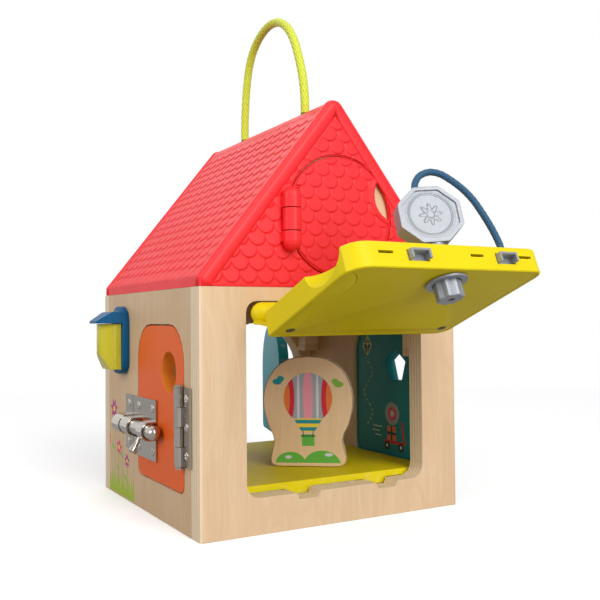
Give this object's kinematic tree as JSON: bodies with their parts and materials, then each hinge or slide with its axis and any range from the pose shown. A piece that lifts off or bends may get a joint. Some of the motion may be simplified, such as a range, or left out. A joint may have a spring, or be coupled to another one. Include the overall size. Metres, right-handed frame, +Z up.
{
  "type": "lock house toy",
  "caption": "Wooden toy house with a plastic gable roof, rope handle, and doors on a butt hinge, barrel bolt, key lock and turn button.",
  "frame": {"origin": "middle of the front wall's foot, on the surface that the house stands on", "axes": "+Z up, +Y from the front wall to the back wall, so -X is the side with the barrel bolt and the lamp"},
  "size_m": [0.2335, 0.4119, 0.3654],
  "materials": {
    "plywood": "matt, clear lacquer",
    "pine": "matt",
    "red_plastic": "satin moulded",
    "yellow_plastic": "satin moulded",
    "blue_plastic": "satin moulded",
    "grey_plastic": "satin moulded",
    "lime_lens": "clear tinted",
    "floor_paint": "painted",
    "orange_paint": "painted",
    "teal_paint": "painted",
    "nickel": "bright plated",
    "lime_rope": "braided",
    "blue_cord": "braided"
  },
  "bodies": {
    "house": {"front_wall": "plywood", "back_wall": "plywood", "left_wall": "plywood", "right_wall": "plywood", "floor_board": "floor_paint", "attic_floor": "plywood", "roof_block_front_left": "pine", "roof_block_front_right": "pine", "roof_block_back_left": "pine", "roof_block_back_right": "pine", "floor_batten_left": "pine", "floor_batten_right": "pine", "left_hinge_wall_leaf": "nickel", "left_hinge_pin": "nickel", "right_hinge_wall_leaf": "nickel", "right_hinge_pin": "nickel", "back_hinge_wall_leaf": "nickel", "back_hinge_pin": "nickel", "bolt_keeper": "nickel", "hook_screw": "nickel", "turn_button_screw": "nickel", "front_hinge_bracket": "yellow_plastic", "front_hinge_axle": "nickel", "roof": "red_plastic", "attic_panel": "plywood", "attic_hinge_pin": "nickel", "rope_handle": "lime_rope", "rope_knot_front": "lime_rope", "rope_knot_back": "lime_rope", "lamp_bracket": "blue_plastic", "lamp_lens": "lime_lens"},
    "front_door": {"front_door_shell": "yellow_plastic", "front_door_cover": "yellow_plastic"},
    "lock": {"lock_sleeve": "grey_plastic", "lock_collar": "grey_plastic"},
    "key": {"key": "grey_plastic", "key_tether": "blue_cord"},
    "latch": {"latch_bar": "grey_plastic"},
    "attic_door": {"attic_door": "red_plastic"},
    "left_door": {"left_door": "orange_paint", "left_hinge_door_leaf": "nickel", "bolt_plate": "nickel"},
    "bolt_rod": {"bolt_rod": "nickel"},
    "bolt_handle": {"bolt_handle": "nickel"},
    "right_door": {"right_door": "teal_paint", "right_hinge_door_leaf": "nickel", "hook_eye": "nickel"},
    "hook": {"hook": "nickel"},
    "back_door": {"back_door": "teal_paint", "back_hinge_door_leaf": "nickel"},
    "turn_button": {"turn_button": "yellow_plastic"},
    "figurine": {"figurine": "plywood"}
  },
  "joints": [
    {"name": "front_door_hinge", "type": "hinge", "parent": "house", "child": "front_door", "pos_m": [0, -0.0125, 0.1383], "axis": [1, 0, 0], "range_deg": [-10, 111.7]},
    {"name": "lock_turn", "type": "hinge", "parent": "front_door", "child": "lock", "pos_m": [0.0041, -0.10587, 0.169], "axis": [0, 0.3697, 0.9291], "range_deg": [0, 90]},
    {"name": "key_pull", "type": "slide", "parent": "lock", "child": "key", "axis": [0, 0.3697, 0.9291], "range_m": [0, 0.03]},
    {"name": "latch_slide", "type": "slide", "parent": "front_door", "child": "latch", "axis": [0, 0.9291, -0.3697], "range_m": [0, 0.004]},
    {"name": "attic_door_hinge", "type": "hinge", "parent": "house", "child": "attic_door", "pos_m": [-0.0363, -0.009, 0.203], "axis": [0, 0, -1], "range_deg": [0, 65]},
    {"name": "left_door_hinge", "type": "hinge", "parent": "house", "child": "left_door", "pos_m": [-0.1033, 0.0187, 0.0675], "axis": [0, 0, 1], "range_deg": [0, 165]},
    {"name": "bolt_slide", "type": "slide", "parent": "left_door", "child": "bolt_rod", "axis": [0, 1, 0], "range_m": [0, 0.0138]},
    {"name": "bolt_handle_turn", "type": "hinge", "parent": "bolt_rod", "child": "bolt_handle", "pos_m": [-0.1057, 0.0797, 0.059], "axis": [0, 1, 0], "range_deg": [0, 120]},
    {"name": "right_door_hinge", "type": "hinge", "parent": "house", "child": "right_door", "pos_m": [0.1033, 0.0187, 0.0675], "axis": [0, 0, -1], "range_deg": [0, 165]},
    {"name": "hook_turn", "type": "hinge", "parent": "house", "child": "hook", "pos_m": [0.1051, 0.126, 0.078], "axis": [1, 0, 0], "range_deg": [0, 270]},
    {"name": "back_door_hinge", "type": "hinge", "parent": "house", "child": "back_door", "pos_m": [0.0785, 0.1963, 0.0675], "axis": [0, 0, 1], "range_deg": [-55, 107]},
    {"name": "turn_button_turn", "type": "hinge", "parent": "house", "child": "turn_button", "pos_m": [-0.0175, 0.193, 0.078], "axis": [0, 1, 0], "range_deg": [-90, 90]},
    {"name": "figurine_lift", "type": "slide", "parent": "house", "child": "figurine", "axis": [0, 0, 1], "range_m": [0, 0.02]}
  ],
  "couplings": [
    {"joint": "latch_slide", "follows": "lock_turn", "m_per_rad": 0.002546}
  ]
}
